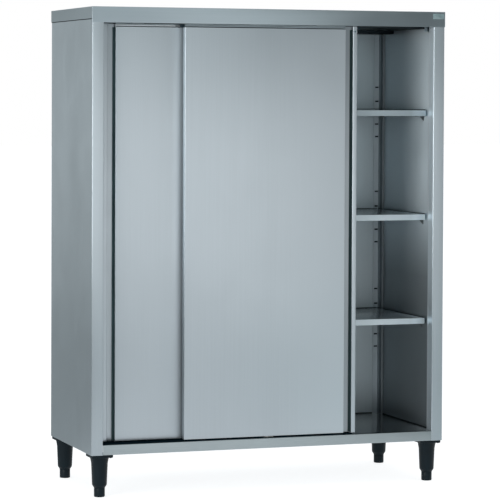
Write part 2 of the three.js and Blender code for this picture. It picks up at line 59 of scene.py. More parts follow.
OUTER_STEEL = (166, 175, 181)
SIDE_STEEL = (163, 173, 179)
# The right side panel in a darker copy of the side steel: painted shade
SHADED_RIGHT_SIDE_STEEL = (156, 166, 172)
LEVEL_STEEL = (158, 169, 175)
INNER_STEEL = (166, 178, 184)
# The inner linings in a lighter copy of the steel: painted light
LIT_LINING_STEEL = (202, 215, 222)
# The back panel in a lighter copy of the steel: painted light
LIT_BACK_STEEL = (188, 202, 208)
# Near-black steel for the ceiling and the rear track: painted shade
SHADED_CEILING_STEEL = (40, 46, 49)
FLOOR_STEEL = (152, 162, 166)
# The inner floor's top in a dark copy of the floor steel: painted shade
SHADED_FLOOR_TOP_STEEL = (84, 92, 96)
# The shelves in a lighter copy of the steel: painted light
LIT_SHELF_STEEL = (206, 218, 224)
# The top shelf in a darker copy of the shelf steel: painted shade
SHADED_TOP_SHELF_STEEL = (172, 185, 191)
SHELF_TOP_STEEL = (140, 151, 156)
# The rear rail's lighter copy of the rail metal: painted light
LIT_RAIL_ALUMINIUM = (206, 213, 217)
# The front rail's and the rail covers' darker copy: painted shade
SHADED_RAIL_ALUMINIUM = (146, 158, 163)
ZINC = (142, 147, 149)
BLACK_PLASTIC = (14, 29, 36)
# Near-black for the strips that stand in for shade in gaps and hollows: painted shade
SHADE_BLACK = (27, 35, 39)
# Bumper rubber, toned bluish grey to stand in for the shade by the front door's top corner: partly the
# rubber, partly painted shade
BUMPER_RUBBER_AND_SHADE = (34, 50, 58)
# Dark grey for the rear handle groove's corner, painted shade, and for the front door's lip screw
GROOVE_SHADE_AND_SCREW_GREY = (86, 110, 114)
# Darker grey for the front handle groove's corner: painted shade
DARKER_GROOVE_SHADE = (52, 70, 73)
WHITE_NYLON = (214, 216, 212)
PLATE_ENAMEL = (144, 169, 172)
STUDIO_FLOOR = (192, 194, 196)

WHITE = (1.0, 1.0, 1.0, 1.0)
BLACK = (0.0, 0.0, 0.0, 1.0)


def linear(red, green, blue):
    """A display colour from 0 to 255 as a linear colour with alpha."""
    def channel(value):
        share = value / 255
        return share / 12.92 if share <= 0.04045 else ((share + 0.055) / 1.055) ** 2.4

    return (channel(red), channel(green), channel(blue), 1.0)


def scaled(colour, factor):
    """A linear colour made lighter or darker."""
    return tuple(channel * factor for channel in colour[:3]) + (1.0,)


def tones(colour, factors):
    return [scaled(colour, factor) for factor in factors]


# Shader nodes

BEVEL_SAMPLES = 6
SHARP_EDGE_DOT = 0.86


def add_node(tree, kind, inputs=None, **settings):
    """A shader node, with its settings and its inputs as values or as other nodes' outputs."""
    node = tree.nodes.new(kind)
    for name, value in settings.items():
        setattr(node, name, value)
    for name, value in (inputs or {}).items():
        if isinstance(value, bpy.types.NodeSocket):
            tree.links.new(value, node.inputs[name])
        else:
            node.inputs[name].default_value = value
    return node


def new_tree(name):
    """A new material and its empty node tree."""
    material = bpy.data.materials.new(name)
    material.use_nodes = True
    material.node_tree.nodes.clear()
    return material, material.node_tree


def own_place(tree):
    """A point's place in its piece's own coordinates, in metres."""
    return add_node(tree, "ShaderNodeTexCoord").outputs["Object"]


def surface_normal(tree):
    return add_node(tree, "ShaderNodeNewGeometry").outputs["Normal"]


def part_along(tree, vector, axis):
    return add_node(tree, "ShaderNodeSeparateXYZ", {"Vector": vector}).outputs[axis]


def noise(tree, scale, detail=2.0, distortion=0.0):
    """Noise on a piece's own coordinates, with a scale for each axis."""
    stretched = add_node(tree, "ShaderNodeMapping", {"Vector": own_place(tree), "Scale": scale})
    inputs = {
        "Vector": stretched.outputs["Vector"],
        "Scale": 1.0,
        "Detail": detail,
        "Distortion": distortion,
    }
    return add_node(tree, "ShaderNodeTexNoise", inputs).outputs["Fac"]


def remap(tree, value, low, high, from_low=0.3, from_high=0.7):
    """A value of one range, by default the usual one of noise, as a value from low to high."""
    inputs = {
        "Value": value,
        "From Min": from_low,
        "From Max": from_high,
        "To Min": low,
        "To Max": high,
    }
    return add_node(tree, "ShaderNodeMapRange", inputs).outputs["Result"]


def blend(tree, share, first, second):
    """A colour between two others, each a colour or a node's output."""
    node = add_node(tree, "ShaderNodeMix", data_type="RGBA")
    for index, value in ((0, share), (6, first), (7, second)):
        if isinstance(value, bpy.types.NodeSocket):
            tree.links.new(value, node.inputs[index])
        else:
            node.inputs[index].default_value = value
    return node.outputs[2]


def vector_maths(tree, operation, inputs, output="Vector"):
    node = add_node(tree, "ShaderNodeVectorMath", inputs, operation=operation)
    return node.outputs[output]


def maths(tree, operation, *values):
    node = add_node(tree, "ShaderNodeMath", dict(enumerate(values)), operation=operation)
    return node.outputs["Value"]


def bump(tree, height, strength, distance, normal=None):
    """A normal bent by a height, with a distance in mm."""
    inputs = {"Height": height, "Strength": strength, "Distance": distance * MM}
    if normal is not None:
        inputs["Normal"] = normal
    return add_node(tree, "ShaderNodeBump", inputs).outputs["Normal"]


def edge_mask(tree, radius, strength):
    """A strength along convex and concave edges, fading to 0 at a radius in mm."""
    rounded = add_node(tree, "ShaderNodeBevel", {"Radius": radius * MM}, samples=BEVEL_SAMPLES)
    normals = {0: rounded.outputs["Normal"], 1: surface_normal(tree)}
    alike = vector_maths(tree, "DOT_PRODUCT", normals, "Value")
    return remap(tree, alike, 0.0, strength, 1.0, SHARP_EDGE_DOT)


def principled(tree, inputs):
    """The surface shader of a tree and its output."""
    shader = add_node(tree, "ShaderNodeBsdfPrincipled", inputs)
    add_node(tree, "ShaderNodeOutputMaterial", {"Surface": shader.outputs["BSDF"]})


# Brushed sheet

# Noise scales, along and across the grain
STREAKS = (2.5, 420.0)
THREADS = (9.0, 2600.0)

# Noise scales for each axis
CLOUDS = (1.6, 1.6, 1.1)
SMUDGES = (7.0, 7.0, 5.0)
WAVES = (2.4, 2.4, 1.4)

STREAK_TONES = (0.98, 1.02)
CLOUD_SHARE = 0.05
CLOUD_TONE = 0.8
# Lighter edges and bends: partly polish, partly painted highlight
POLISHED_AND_HIGHLIT_EDGE = 3.2
POLISHED_AND_HIGHLIT_EDGE_TONE = 1.45
SMUDGE_ROUGHNESS = (-0.015, 0.02)
THREAD_ROUGHNESS = (-0.02, 0.02)
LOOKS_UP = (0.4, 0.8)


def grain_scale(axis, along, across):
    return tuple(along if name == axis else across for name in "xyz")


def spread_direction(tree, axis):
    """The direction in the surface across the grain, along which brushing spreads a highlight."""
    grain = tuple(float(name == axis) for name in "xyz")
    spare = (0.0, 1.0, 0.0) if axis == "x" else (1.0, 0.0, 0.0)
    normal_and_grain = {0: surface_normal(tree), 1: grain}
    across = vector_maths(tree, "CROSS_PRODUCT", normal_and_grain)
    facing = vector_maths(tree, "DOT_PRODUCT", normal_and_grain, "Value")
    size = maths(tree, "ABSOLUTE", facing)
    end_on = vector_maths(tree, "SCALE", {0: spare, "Scale": size})
    return vector_maths(tree, "ADD", {0: across, 1: end_on})


def brushed_steel(
    name, colour, roughness, grain_axis, spread=0.95, metal=1.0, edge=0.35, top=None, painted_light=None
):
    """Satin sheet: fine streaks along the grain, soft clouds, slight waviness and lighter edges,
    partly polish and partly painted highlight along the bends.

    Faces that look up take the colour and roughness of top, where it is given: mirror-like trays.
    On the floor the darker top colour is painted shade.
    Where painted_light is given as (axis, start, end, factor), the colour is the base times the
    factor up to the start, and goes over into the sheet's own up to the end, in metres along the
    axis: painted light or painted shade."""
    material, tree = new_tree(name)
    base = linear(*colour)
    streaks = noise(tree, grain_scale(grain_axis, *STREAKS), detail=3.0)
    threads = noise(tree, grain_scale(grain_axis, *THREADS), detail=2.0)
    clouds = noise(tree, CLOUDS, detail=2.0, distortion=0.4)
    smudges = noise(tree, SMUDGES, detail=4.0, distortion=0.8)
    waves = noise(tree, WAVES, detail=1.0)

    tone = blend(tree, remap(tree, streaks, 0.0, 1.0), *tones(base, STREAK_TONES))
    tone = blend(tree, remap(tree, clouds, 0.0, CLOUD_SHARE), tone, scaled(base, CLOUD_TONE))
    # Edges lighter: partly polish, partly painted highlight
    tone = blend(tree, edge_mask(tree, POLISHED_AND_HIGHLIT_EDGE, edge), tone, scaled(base, POLISHED_AND_HIGHLIT_EDGE_TONE))
    smooth = remap(tree, smudges, *(roughness + change for change in SMUDGE_ROUGHNESS))
    if top:
        top_colour, top_roughness = top
        up = remap(tree, part_along(tree, surface_normal(tree), "Z"), 0.0, 1.0, *LOOKS_UP)
        tone = blend(tree, up, tone, linear(*top_colour))
        smooth = remap(tree, up, smooth, top_roughness, 0.0, 1.0)
    # Painted light or shade: the colour made lighter or darker by place along an axis
    if painted_light:
        axis, start, end, factor = painted_light
        share = remap(tree, part_along(tree, own_place(tree), axis), 0.0, 1.0, start, end)
        tone = blend(tree, share, scaled(base, factor), tone)

    sheet_waves = bump(tree, waves, strength=0.12, distance=2.0)
    principled(tree, {
        "Base Color": tone,
        "Metallic": metal,
        "Roughness": maths(tree, "ADD", smooth, remap(tree, threads, *THREAD_ROUGHNESS)),
        "Anisotropic": spread,
        "Tangent": spread_direction(tree, grain_axis),
        "Normal": bump(tree, threads, strength=0.12, distance=0.05, normal=sheet_waves),
    })
    return material


# Painted light and shade: the axis, the start and the end in metres, and the factor at the start
# Door skins up to 1.13 times as light towards the right: painted light
DOOR_RIGHT_LIGHT = ("X", 0.32, 0.0, 1.13)
# The right stile's return face 1.9 times as light: painted light
RETURN_LIGHT = ("X", 0.6549, 0.6553, 1.9)
# The linings half as light below 0.78 m, their own colour from 0.98 m up: painted shade
LINING_LOW_SHADE = ("Z", 0.78, 0.98, 0.5)
# The rear posts' front folds at 0.45 of the colour: painted shade
POST_FOLD_SHADE = ("Y", 0.262, 0.268, 0.45)
# The front door's handle groove, behind its face, at 0.72 of the colour: painted shade
HANDLE_GROOVE_SHADE = ("Y", -0.2505, -0.2515, 0.72)
# The shelves' right ends 1.5 times as light, the top shelf's 1.9 times: painted light
SHELF_END_LIGHT = ("X", 0.662, 0.6, 1.5)
TOP_SHELF_END_LIGHT = ("X", 0.662, 0.6, 1.9)
# The rear track's end stops, below 1.7426 m, 26 times as light: painted light
TRACK_STOP_LIGHT = ("Z", 1.7426, 1.7429, 26.0)

SHADED_FLOOR_TOP_FINISH = (SHADED_FLOOR_TOP_STEEL, 0.14)
SHELF_TOP_FINISH = (SHELF_TOP_STEEL, 0.16)

upright_steel = brushed_steel(
    "outer_steel_upright", OUTER_STEEL, roughness=0.335, grain_axis="z", spread=0.88,
    painted_light=DOOR_RIGHT_LIGHT,
)
front_handle_steel = brushed_steel(
    "front_handle_steel", OUTER_STEEL, roughness=0.335, grain_axis="z", spread=0.88, edge=0.12,
    painted_light=HANDLE_GROOVE_SHADE,
)
rear_handle_steel = brushed_steel(
    "rear_handle_steel", OUTER_STEEL, roughness=0.335, grain_axis="z", spread=0.88, edge=0.12,
)
cap_steel = brushed_steel("cap_steel", LEVEL_STEEL, roughness=0.33, grain_axis="x")
floor_steel = brushed_steel(
    "floor_steel", FLOOR_STEEL, roughness=0.33, grain_axis="x", top=SHADED_FLOOR_TOP_FINISH,
)
side_steel = brushed_steel(
    "side_steel", SIDE_STEEL, roughness=0.34, grain_axis="z", spread=0.97,
)
shaded_right_side_steel = brushed_steel(
    "shaded_right_side_steel", SHADED_RIGHT_SIDE_STEEL, roughness=0.34, grain_axis="z", spread=0.97, edge=0.15,
    painted_light=RETURN_LIGHT,
)
inner_upright_steel = brushed_steel(
    "inner_steel_upright", INNER_STEEL, roughness=0.34, grain_axis="z", spread=1.0,
)
lining_light_and_shade = brushed_steel(
    "lining_light_and_shade", LIT_LINING_STEEL, roughness=0.34, grain_axis="z", spread=1.0,
    painted_light=LINING_LOW_SHADE,
)
post_steel = brushed_steel(
    "post_steel", INNER_STEEL, roughness=0.34, grain_axis="z", spread=1.0, edge=0.0,
    painted_light=POST_FOLD_SHADE,
)
lit_back_steel = brushed_steel("lit_inner_steel_back", LIT_BACK_STEEL, roughness=0.46, grain_axis="z")
lit_shelf_steel = brushed_steel(
    "lit_shelf_steel", LIT_SHELF_STEEL, roughness=0.5, grain_axis="x", spread=0.4, metal=0.4,
    top=SHELF_TOP_FINISH, painted_light=SHELF_END_LIGHT,
)
shaded_top_shelf_steel = brushed_steel(
    "shaded_top_shelf_steel", SHADED_TOP_SHELF_STEEL, roughness=0.5, grain_axis="x", spread=0.4, metal=0.4,
    top=SHELF_TOP_FINISH, painted_light=TOP_SHELF_END_LIGHT,
)
shaded_ceiling_steel = brushed_steel("shaded_ceiling_steel", SHADED_CEILING_STEEL, roughness=0.3, grain_axis="x")
track_shade_and_stop_light = brushed_steel(
    "track_shade_and_stop_light", SHADED_CEILING_STEEL, roughness=0.3, grain_axis="x", painted_light=TRACK_STOP_LIGHT,
)
lit_rail_aluminium = brushed_steel(
    "lit_rail_aluminium", LIT_RAIL_ALUMINIUM, roughness=0.45, grain_axis="x", spread=0.3, metal=0.8,
)
shaded_rail_aluminium = brushed_steel(
    "shaded_rail_aluminium", SHADED_RAIL_ALUMINIUM, roughness=0.45, grain_axis="x", spread=0.3,
    metal=0.8,
)


# Hardware, plastic and rubber

SPANGLE = (260.0, 260.0, 260.0)
SPANGLE_TONES = (0.88, 1.12)
STAINS = (38.0, 38.0, 38.0)
STAIN_RANGE = (0.55, 0.75)
STAIN_SHARE = 0.3
STAIN_TONE = 0.55
STAIN_ROUGHNESS = (0.38, 0.52)
WORN_ZINC = 0.8
WORN_ZINC_SHARE = 0.5
WORN_ZINC_TONE = 1.5

PEBBLES = (900.0, 900.0, 900.0)
FLOW_MARKS = (30.0, 30.0, 9.0)
FLOW_TONES = (0.8, 1.2)
FLOW_ROUGHNESS = (-0.05, 0.07)
SCUFFED_EDGE = 1.5
SCUFF_TONE = 2.6


def zinc_plate(name, colour):
    """Dull plated sheet and hardware, with a fine spangle and darker worn spots."""
    material, tree = new_tree(name)
    base = linear(*colour)
    spangle = noise(tree, SPANGLE, detail=2.0)
    stains = noise(tree, STAINS, detail=4.0, distortion=0.6)
    stained = remap(tree, stains, 0.0, STAIN_SHARE, *STAIN_RANGE)
    worn = edge_mask(tree, WORN_ZINC, WORN_ZINC_SHARE)
    tone = blend(tree, remap(tree, spangle, 0.0, 1.0), *tones(base, SPANGLE_TONES))
    tone = blend(tree, stained, tone, scaled(base, STAIN_TONE))
    tone = blend(tree, worn, tone, scaled(base, WORN_ZINC_TONE))
    principled(tree, {
        "Base Color": tone,
        "Metallic": 1.0,
        "Roughness": remap(tree, stains, *STAIN_ROUGHNESS),
        "Normal": bump(tree, spangle, strength=0.2, distance=0.08),
    })
    return material


def moulded(name, colour, roughness, grain, scuff, shine=0.5):
    """Moulded plastic or rubber, with a fine texture, flow marks and scuffed edges."""
    material, tree = new_tree(name)
    base = linear(*colour)
    pebbles = noise(tree, PEBBLES, detail=2.0)
    flow = noise(tree, FLOW_MARKS, detail=3.0, distortion=0.5)
    tone = blend(tree, remap(tree, flow, 0.0, 1.0), *tones(base, FLOW_TONES))
    tone = blend(tree, edge_mask(tree, SCUFFED_EDGE, scuff), tone, scaled(base, SCUFF_TONE))
    principled(tree, {
        "Base Color": tone,
        "Roughness": remap(tree, flow, *(roughness + change for change in FLOW_ROUGHNESS)),
        "Specular IOR Level": shine,
        "Normal": bump(tree, pebbles, strength=grain, distance=0.1),
    })
    return material


zinc = zinc_plate("zinc_hardware", ZINC)
black_plastic = moulded(
    "black_plastic", BLACK_PLASTIC, roughness=0.4, grain=0.25, scuff=0.4, shine=0.15,
)
# A matt near-black for the strip under the doors: painted shade
matt_shade = moulded("matt_shade", BLACK_PLASTIC, roughness=0.8, grain=0.3, scuff=0.0, shine=0.0)
black_rubber = moulded(
    "black_rubber", SHADE_BLACK, roughness=0.62, grain=0.4, scuff=0.25, shine=0.2,
)
bumper_rubber_and_shade = moulded(
    "bumper_rubber_and_shade", BUMPER_RUBBER_AND_SHADE, roughness=0.62, grain=0.4, scuff=0.25, shine=0.2,
)
groove_shade_and_screw_grey = moulded("groove_shade_and_screw_grey", GROOVE_SHADE_AND_SCREW_GREY, roughness=0.6, grain=0.4, scuff=0.1, shine=0.2)
darker_groove_shade = moulded(
    "darker_groove_shade", DARKER_GROOVE_SHADE, roughness=0.6, grain=0.4, scuff=0.1, shine=0.2,
)
white_nylon = moulded("white_nylon", WHITE_NYLON, roughness=0.42, grain=0.1, scuff=0.0)
plate_enamel = moulded("plate_enamel", PLATE_ENAMEL, roughness=0.3, grain=0.08, scuff=0.0)


# Finishes of the CAD nodes

WELD_DISTANCE = 0.001
BEND_ANGLE = 32


def paint(names, material):
    """Gives CAD nodes their finish, with smooth bends and round parts."""
    for name in names:
        piece = nodes[name]
        piece.data.materials.clear()
        piece.data.materials.append(material)
        if "custom_normal" in piece.data.attributes:
            piece.data.attributes.remove(piece.data.attributes["custom_normal"])
        piece.data.polygons.foreach_set("use_smooth", [True] * len(piece.data.polygons))
        weld = piece.modifiers.new("weld", "WELD")
        weld.merge_threshold = WELD_DISTANCE * MM
        split = piece.modifiers.new("edges", "EDGE_SPLIT")
        split.split_angle = math.radians(BEND_ANGLE)


paint(["left_side_panel"], side_steel)
paint(["right_side_panel"], shaded_right_side_steel)
paint([f"{door}_skin" for door in DOORS], upright_steel)
paint(["front_door_handle"], front_handle_steel)
paint(["rear_door_handle"], rear_handle_steel)
paint(["top_cap"], cap_steel)
paint(["bottom_panel"], floor_steel)
paint(["rear_door_hanger_rail"], lit_rail_aluminium)
paint(["front_door_hanger_rail"], shaded_rail_aluminium)
paint([f"{side}_inner_lining" for side in SIDES], lining_light_and_shade)
paint([f"{side}_rear_post" for side in SIDES], post_steel)
paint([f"{door}_inner_pan" for door in DOORS], inner_upright_steel)
paint(["back_panel"], lit_back_steel)
paint(["ceiling_panel"], shaded_ceiling_steel)
paint(["bottom_shelf", "middle_shelf"], lit_shelf_steel)
paint(["top_shelf"], shaded_top_shelf_steel)
paint(["front_track"], inner_upright_steel)
paint(["rear_track"], track_shade_and_stop_light)
paint(
    [f"{shelf}_shelf_{row}_{side}_clip" for shelf in SHELVES for row in ROWS for side in SIDES],
    zinc,
)
paint(["centre_guide"], white_nylon)
for door in DOORS:
    paint([f"{door}_{end}_{part}" for end in HANGER_ENDS for part in ("bracket", "axle")], zinc)
    paint([f"{door}_{end}_wheel" for end in HANGER_ENDS], white_nylon)
    paint([f"{door}_{end}_bumper" for end in HANGER_ENDS], bumper_rubber_and_shade)


# Shapes, with sizes in mm

SMOOTH_ANGLE = 35
QUADRANTS = ((1, 1), (-1, 1), (-1, -1), (1, -1))


def finished(name, mesh, material, body):
    """A new piece from a bmesh, smooth up to an angle, riding on a body."""
    bmesh.ops.recalc_face_normals(mesh, faces=mesh.faces)
    data = bpy.data.meshes.new(name)
    mesh.to_mesh(data)
    mesh.free()
    data.materials.append(material)
    data.polygons.foreach_set("use_smooth", [True] * len(data.polygons))
    data.set_sharp_from_angle(angle=math.radians(SMOOTH_ANGLE))
    piece = bpy.data.objects.new(name, data)
    scene.collection.objects.link(piece)
    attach(piece, body)
    return piece


def turn_profile(mesh, profile, centre, segments):
    """A closed profile of (radius, height), turned about the vertical through a point in metres."""
    rings = []
    for radius, height in profile:
        count = segments if radius else 1
        rings.append([
            mesh.verts.new(centre + Vector((
                radius * MM * math.cos(math.tau * i / count),
                radius * MM * math.sin(math.tau * i / count),
                height * MM,
            )))
            for i in range(count)
        ])
    for low, high in zip(rings, rings[1:] + rings[:1]):
        for i in range(segments):
            corners = (
                low[i % len(low)],
                low[(i + 1) % len(low)],
                high[(i + 1) % len(high)],
                high[i % len(high)],
            )
            unique = list(dict.fromkeys(corners))
            if len(unique) > 2:
                mesh.faces.new(unique)


def join_rings(mesh, rings):
    """Faces between each ring of corners and the next, and one over each end."""
    count = len(rings[0])
    for low, high in zip(rings, rings[1:]):
        for i in range(count):
            mesh.faces.new((low[i], low[(i + 1) % count], high[(i + 1) % count], high[i]))
    mesh.faces.new(rings[0][::-1])
    mesh.faces.new(rings[-1])


def round_corners(half_width, half_height, radius, steps, inset=0.0):
    """The outline of a rectangle with round corners, about its centre."""
    for quadrant, (sign_a, sign_b) in enumerate(QUADRANTS):
        for i in range(steps + 1):
            angle = (quadrant + i / steps) * math.pi / 2
            yield (
                sign_a * (half_width - radius) + (radius - inset) * math.cos(angle),
                sign_b * (half_height - radius) + (radius - inset) * math.sin(angle),
            )


def rounded_plate(mesh, half_width, half_height, radius, steps, layers, place):
    """A plate with round corners, as layers of (inset, height), put in place by a function."""
    join_rings(mesh, [
        [
            mesh.verts.new(place(a, b, height))
            for a, b in round_corners(half_width, half_height, radius, steps, inset)
        ]
        for inset, height in layers
    ])


def rounded_bar(mesh, low, high, radius, axis, steps):
    """A bar between two corners, with its edges along an axis rounded."""
    across = [i for i in range(3) if i != axis]
    middle = [(low[i] + high[i]) / 2 for i in range(3)]
    half = [(high[i] - low[i]) / 2 for i in range(3)]
    rings = []
    for end in (low[axis], high[axis]):
        ring = []
        for offsets in round_corners(half[across[0]], half[across[1]], radius, steps):
            point = [0.0, 0.0, 0.0]
            point[axis] = end
            for index, offset in zip(across, offsets):
                point[index] = middle[index] + offset
            ring.append(mesh.verts.new(Vector(point) * MM))
        rings.append(ring)
    join_rings(mesh, rings)


def bar_piece(name, bars, material, body, radius, axis, steps=2):
    """A piece made of bars with rounded long edges, each given by two corners."""
    mesh = bmesh.new()
    for low, high in bars:
        rounded_bar(mesh, low, high, radius, axis, steps)
    finished(name, mesh, material, body)


# Legs: a moulded housing with a flared neck, four flange screws and a screwed foot

LEG_SEGMENTS = 96
HOUSING_PROFILE = (
    (8.1, 33.3), (19.8, 33.3), (20.7, 33.7), (21.1, 34.8), (21.8, 36.6), (26.3, 42.9),
    (27.1, 44.6), (27.5, 46.6), (30.6, 121.0), (31.0, 125.2), (31.8, 130.0), (33.3, 138.0),
    (34.8, 144.6), (35.8, 147.0), (37.0, 148.4), (37.0, 152.0), (0.0, 152.0), (0.0, 101.0),
    (8.1, 101.0),
)
FOOT_PROFILE = (
    (0.0, 0.0), (16.8, 0.0), (18.3, 0.4), (19.4, 1.3), (20.0, 2.6), (20.2, 4.2), (20.2, 31.8),
    (19.9, 32.6), (19.1, 33.0), (8.0, 33.0), (8.0, 92.2), (7.2, 93.0), (0.0, 93.0),
)
FLANGE_HALF = 42
FLANGE_RADIUS = 8
FLANGE_STEPS = 8
FLANGE_BOTTOM = 147.7
FLANGE_LAYERS = ((0.9, FLANGE_BOTTOM), (0.25, 147.95), (0.0, 148.6), (0.0, 157.0), (0.4, 157.7))
FLANGE_SCREW_OFFSET = 33
SCREW_HEAD = ((0.0, -2.6), (2.2, -2.5), (3.6, -1.9), (4.2, -0.9), (4.3, 0.0), (0.0, 0.0))
SCREW_SEGMENTS = 20


def leg(row, side):
    """A leg's housing and foot, which replace the plain solids, and its flange screws."""
    low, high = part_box(f"{row}_{side}_leg_housing")
    centre = Vector(((low.x + high.x) / 2, (low.y + high.y) / 2, 0.0))
    mesh = bmesh.new()
    turn_profile(mesh, HOUSING_PROFILE, centre, LEG_SEGMENTS)
    rounded_plate(
        mesh, FLANGE_HALF, FLANGE_HALF, FLANGE_RADIUS, FLANGE_STEPS, FLANGE_LAYERS,
        lambda a, b, height: centre + Vector((a, b, height)) * MM,
    )
    housing = finished(f"{row}_{side}_moulded_leg", mesh, black_plastic, "cabinet")
    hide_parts(f"{row}_{side}_leg_housing")

    mesh = bmesh.new()
    turn_profile(mesh, FOOT_PROFILE, centre, LEG_SEGMENTS)
    name = f"{row}_{side}_screw_foot"
    foot = finished(name, mesh, black_plastic, f"foot_{row}_{side}")
    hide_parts(f"{row}_{side}_adjustable_foot")

    mesh = bmesh.new()
    for x in (-FLANGE_SCREW_OFFSET, FLANGE_SCREW_OFFSET):
        for y in (-FLANGE_SCREW_OFFSET, FLANGE_SCREW_OFFSET):
            place = centre + Vector((x, y, FLANGE_BOTTOM)) * MM
            turn_profile(mesh, SCREW_HEAD, place, SCREW_SEGMENTS)
    finished(f"{row}_{side}_leg_screws", mesh, black_plastic, "cabinet")


for row in ROWS:
    for side in SIDES:
        leg(row, side)


# Blank plate at the right end of the fascia

PLATE_HALF_WIDTH = 23
PLATE_HALF_HEIGHT = 10.5
PLATE_RADIUS = 2
PLATE_STEPS = 4
PLATE_INSET = 28
PLATE_DROP = 18
PLATE_LAYERS = ((0.0, -0.2), (0.0, 0.35), (0.3, 0.5))

cap_low, cap_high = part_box("top_cap")
plate_centre = Vector((cap_high.x - PLATE_INSET * MM, cap_low.y, cap_high.z - PLATE_DROP * MM))
mesh = bmesh.new()
rounded_plate(
    mesh, PLATE_HALF_WIDTH, PLATE_HALF_HEIGHT, PLATE_RADIUS, PLATE_STEPS, PLATE_LAYERS,
    lambda a, b, height: plate_centre + Vector((a, -height, b)) * MM,
)
finished("fascia_blank_plate", mesh, plate_enamel, "cabinet")


# Dark strip under the cap's side skirts: painted shade where the skirt stands off the side panel

SKIRT_BOTTOM = 1756.5
SKIRT_SHADE_HEIGHT = 3.2
SKIRT_SHADE_DEPTH = 1.4
SKIRT_SHADE_GAP = 0.1
SKIRT_SHADE_END_GAP = 3.0

for side, sign in SIDE_SIGNS:
    low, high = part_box(f"{side}_side_panel")
    outer = (high.x if sign > 0 else low.x) / MM
    xs = sorted((outer + sign * SKIRT_SHADE_GAP, outer + sign * (SKIRT_SHADE_GAP + SKIRT_SHADE_DEPTH)))
    bar_piece(
        f"{side}_cap_skirt_shade",
        [((xs[0], low.y / MM + SKIRT_SHADE_END_GAP, SKIRT_BOTTOM - SKIRT_SHADE_HEIGHT),
          (xs[1], high.y / MM - SKIRT_SHADE_END_GAP, SKIRT_BOTTOM - SKIRT_SHADE_GAP))],
        black_rubber, "cabinet", radius=0.5, axis=1, steps=3,
    )


# Dark strip in the corner of each door's handle groove as painted shade, and a screw in the front
# door's lip

# For each door: the side of its lip, the strip's width on the groove's floor, and its dark grey
GROOVE_SHADE_STRIPS = (("front_door", 1, 6.5, darker_groove_shade), ("rear_door", -1, 7.0, groove_shade_and_screw_grey))
SHADE_STRIP_THICKNESS = 0.6
SHADE_STRIP_GAP = 0.15
SHADE_STRIP_END_GAP = 1.0
SHADE_STRIP_FRONT_GAP = 2.0
GROOVE_DEPTH = 18.8
GROOVE_WIDTH = 30.0
GROOVE_LIP = 17.0
DOOR_TOP = 1728.3
LIP_SCREW_DROP = 7.3
LIP_SCREW_SEGMENTS = 24
LIP_SCREW_RINGS = ((3.4, 0.05), (3.3, 0.25), (2.6, 0.42), (1.5, 0.45), (1.3, 0.1))  # radius, height

for door, sign, floor_width, strip_shade in GROOVE_SHADE_STRIPS:
    low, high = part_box(f"{door}_handle")
    outer = (high.x if sign > 0 else low.x) / MM
    face = low.y / MM
    wall = outer - sign * GROOVE_LIP + (GROOVE_WIDTH if sign < 0 else 0.0) - SHADE_STRIP_GAP
    groove_floor = face + GROOVE_DEPTH - SHADE_STRIP_GAP
    bottom, top = low.z / MM + SHADE_STRIP_END_GAP, DOOR_TOP - SHADE_STRIP_END_GAP
    on_floor = (
        (wall - floor_width, groove_floor - SHADE_STRIP_THICKNESS, bottom),
        (wall, groove_floor, top),
    )
    on_wall = (
        (wall - SHADE_STRIP_THICKNESS, face + SHADE_STRIP_FRONT_GAP, bottom),
        (wall, groove_floor - SHADE_STRIP_THICKNESS - SHADE_STRIP_GAP, top),
    )
    bar_piece(
        f"{door}_groove_shade_strip", [on_floor, on_wall],
        strip_shade, door, radius=0.25, axis=2, steps=3,
    )
    if door == "front_door":
        mesh = bmesh.new()
        centre = Vector((outer - sign * GROOVE_LIP / 2, face, DOOR_TOP - LIP_SCREW_DROP)) * MM
        join_rings(mesh, [
            [
                mesh.verts.new(centre + Vector((
                    radius * math.cos(math.tau * i / LIP_SCREW_SEGMENTS),
                    -height,
                    radius * math.sin(math.tau * i / LIP_SCREW_SEGMENTS),
                )) * MM)
                for i in range(LIP_SCREW_SEGMENTS)
            ]
            for radius, height in LIP_SCREW_RINGS
        ])
        finished(f"{door}_lip_screw", mesh, groove_shade_and_screw_grey, door)


# Dark plates behind the slots of the rear posts: painted shade of the hollow posts

SLOT_SHARES = (
    0.8615, 0.8245, 0.7645, 0.7317, 0.5868, 0.5482, 0.4867, 0.4536, 0.3297, 0.2908, 0.2098, 0.1771,
)
SLOT_SPAN = (195.5, 1724.7)
SLOT_NEAR, SLOT_FAR = 647.0, 662.0
SLOT_HALF_HEIGHT = 3.25
SLOT_SHADE_DEPTHS = (284.5, 284.9)
SLOT_GAP = 0.1

for side, sign in SIDE_SIGNS:
    xs = sorted((sign * (SLOT_NEAR + SLOT_GAP), sign * (SLOT_FAR - SLOT_GAP)))
    reach = SLOT_HALF_HEIGHT - SLOT_GAP
    heights = [SLOT_SPAN[0] + share * (SLOT_SPAN[1] - SLOT_SPAN[0]) for share in SLOT_SHARES]
    bar_piece(
        f"{side}_post_slot_shade",
        [((xs[0], SLOT_SHADE_DEPTHS[0], height - reach), (xs[1], SLOT_SHADE_DEPTHS[1], height + reach))
         for height in heights],
        black_rubber, "cabinet", radius=0.15, axis=0, steps=3,
    )


# Hanger rails: dark lines under and over each rail's light face as painted shade, and a cover strip on
# top

SURFACE_GAP = 0.05
STRIP_RADIUS = 0.3
RAIL_SHADE_LINES = ((1728.75, 1731.2), (1736.0, 1737.2))
RAIL_COVER = (1737.3, 1741.2)
RAIL_STRIP_DEPTH = 0.8
RAIL_END_GAP = 1.0


